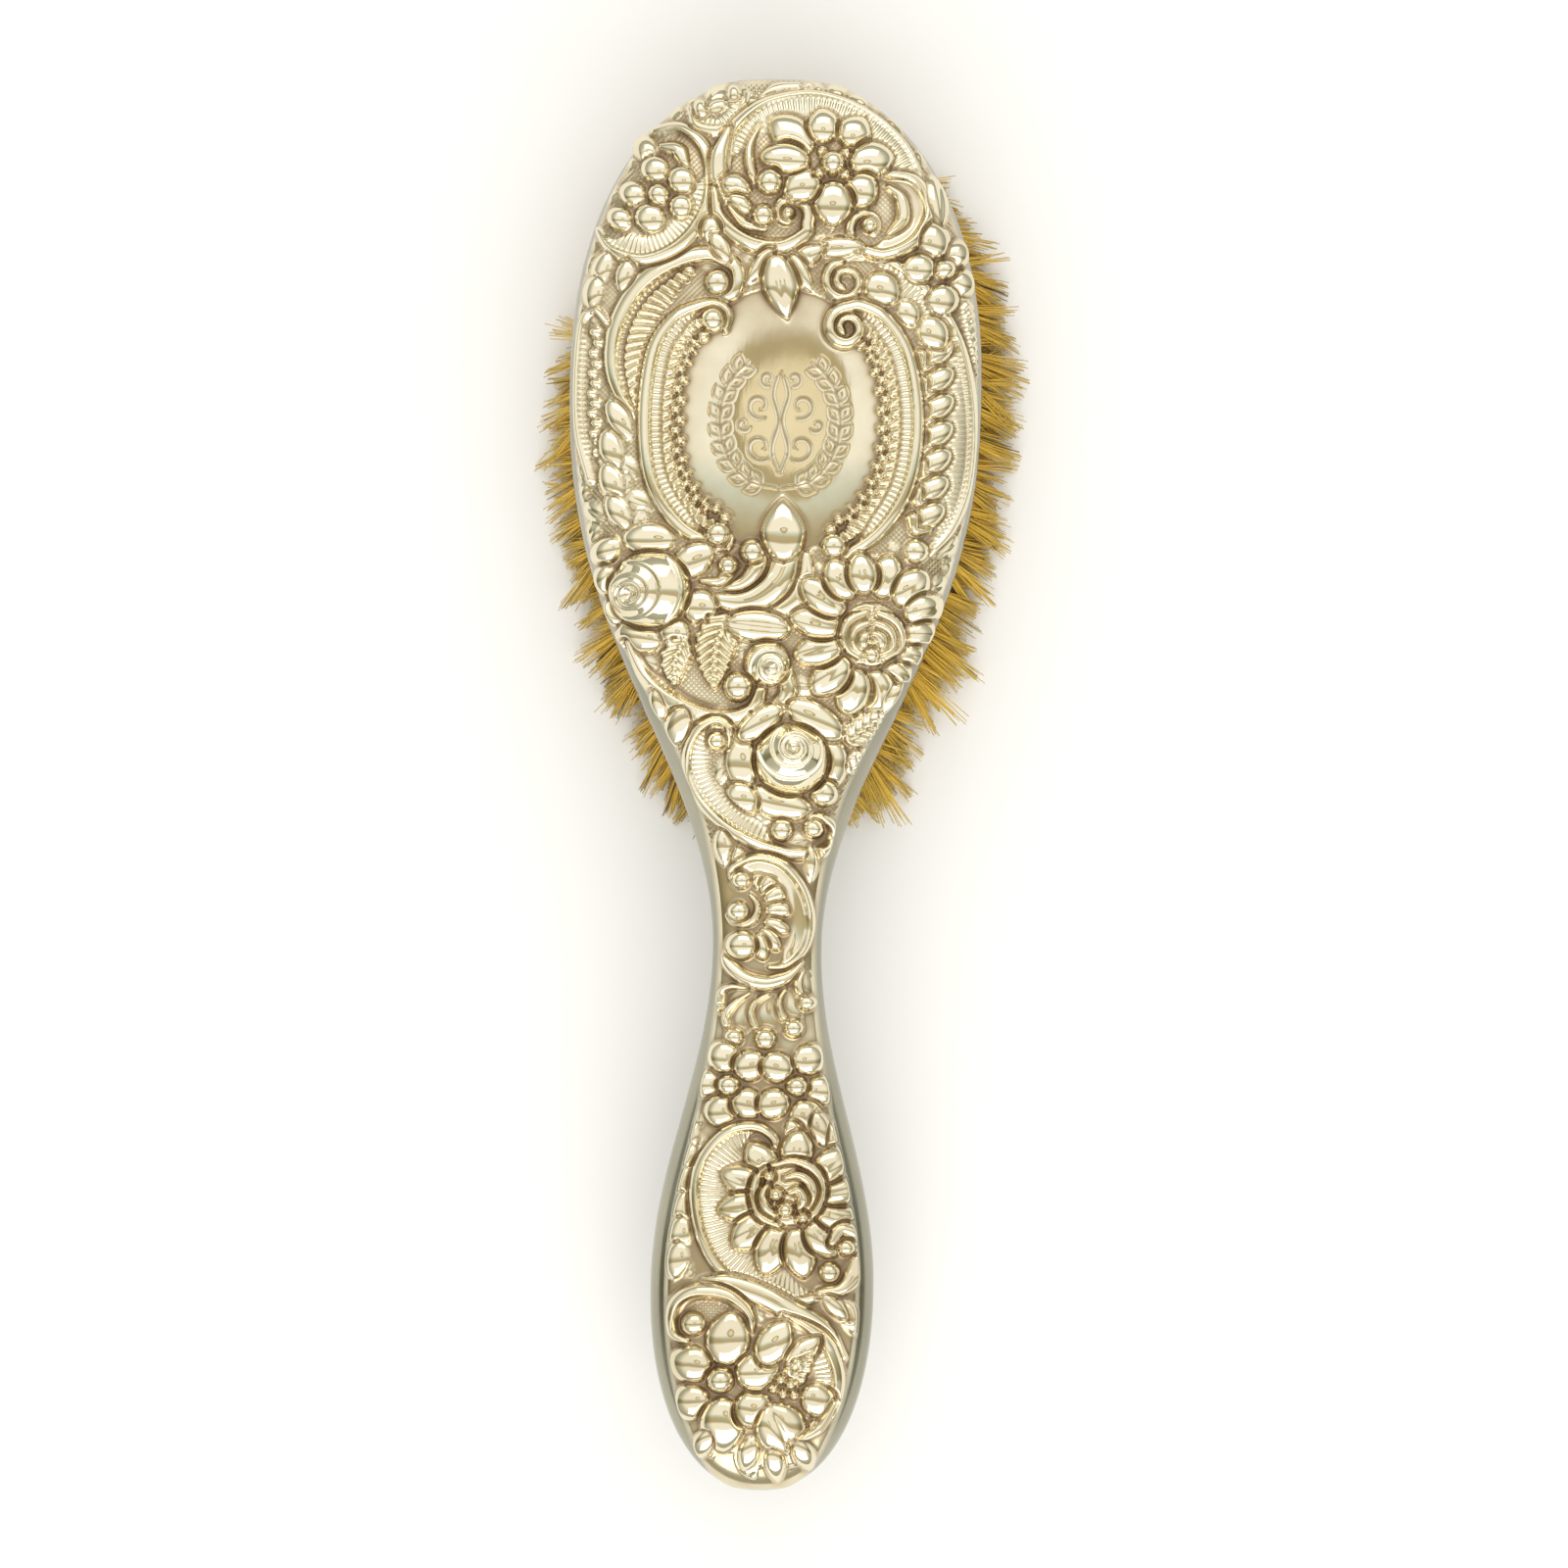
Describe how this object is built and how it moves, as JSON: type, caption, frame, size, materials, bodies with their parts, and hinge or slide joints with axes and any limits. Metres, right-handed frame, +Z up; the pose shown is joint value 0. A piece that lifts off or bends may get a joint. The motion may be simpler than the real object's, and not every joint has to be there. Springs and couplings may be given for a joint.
{
  "type": "vanity hairbrush",
  "caption": "Antique vanity hairbrush: an embossed scrollwork silver back and bulbous handle over a drilled wooden block of flared natural bristle tufts.",
  "frame": {"origin": "under the middle of the brush, on the plane of the bristle tips", "axes": "+Y along the brush from the butt of the handle to the tip of the head, +X to the right seen from above, +Z up through the silver back"},
  "size_m": [0.0818, 0.238, 0.03],
  "materials": {
    "silver": "polished silver with brown tarnish left in the recesses",
    "pear_wood": "oiled, fine straight grain",
    "pitch": "set pitch cement, dull",
    "iron": "plain iron rod",
    "brass": "drawn brass wire and turned pins",
    "bristle": "golden boar bristle, satin"
  },
  "bodies": {
    "root": {"silver_back": "silver", "handle_underside": "silver", "bristle_block": "pear_wood", "backing_board": "pear_wood", "head_cement": "pitch", "handle_cement": "pitch", "handle_rod": "iron", "drawing_wire_01": "brass", "drawing_wire_02": "brass", "drawing_wire_03": "brass", "drawing_wire_04": "brass", "drawing_wire_05": "brass", "drawing_wire_06": "brass", "drawing_wire_07": "brass", "drawing_wire_08": "brass", "drawing_wire_09": "brass", "block_pin_1": "brass", "block_pin_2": "brass", "block_pin_3": "brass", "block_pin_4": "brass", "block_pin_5": "brass", "block_pin_6": "brass", "bristle_row_01": "bristle", "bristle_row_02": "bristle", "bristle_row_03": "bristle", "bristle_row_04": "bristle", "bristle_row_05": "bristle", "bristle_row_06": "bristle", "bristle_row_07": "bristle", "bristle_row_08": "bristle", "bristle_row_09": "bristle"}
  },
  "joints": []
}
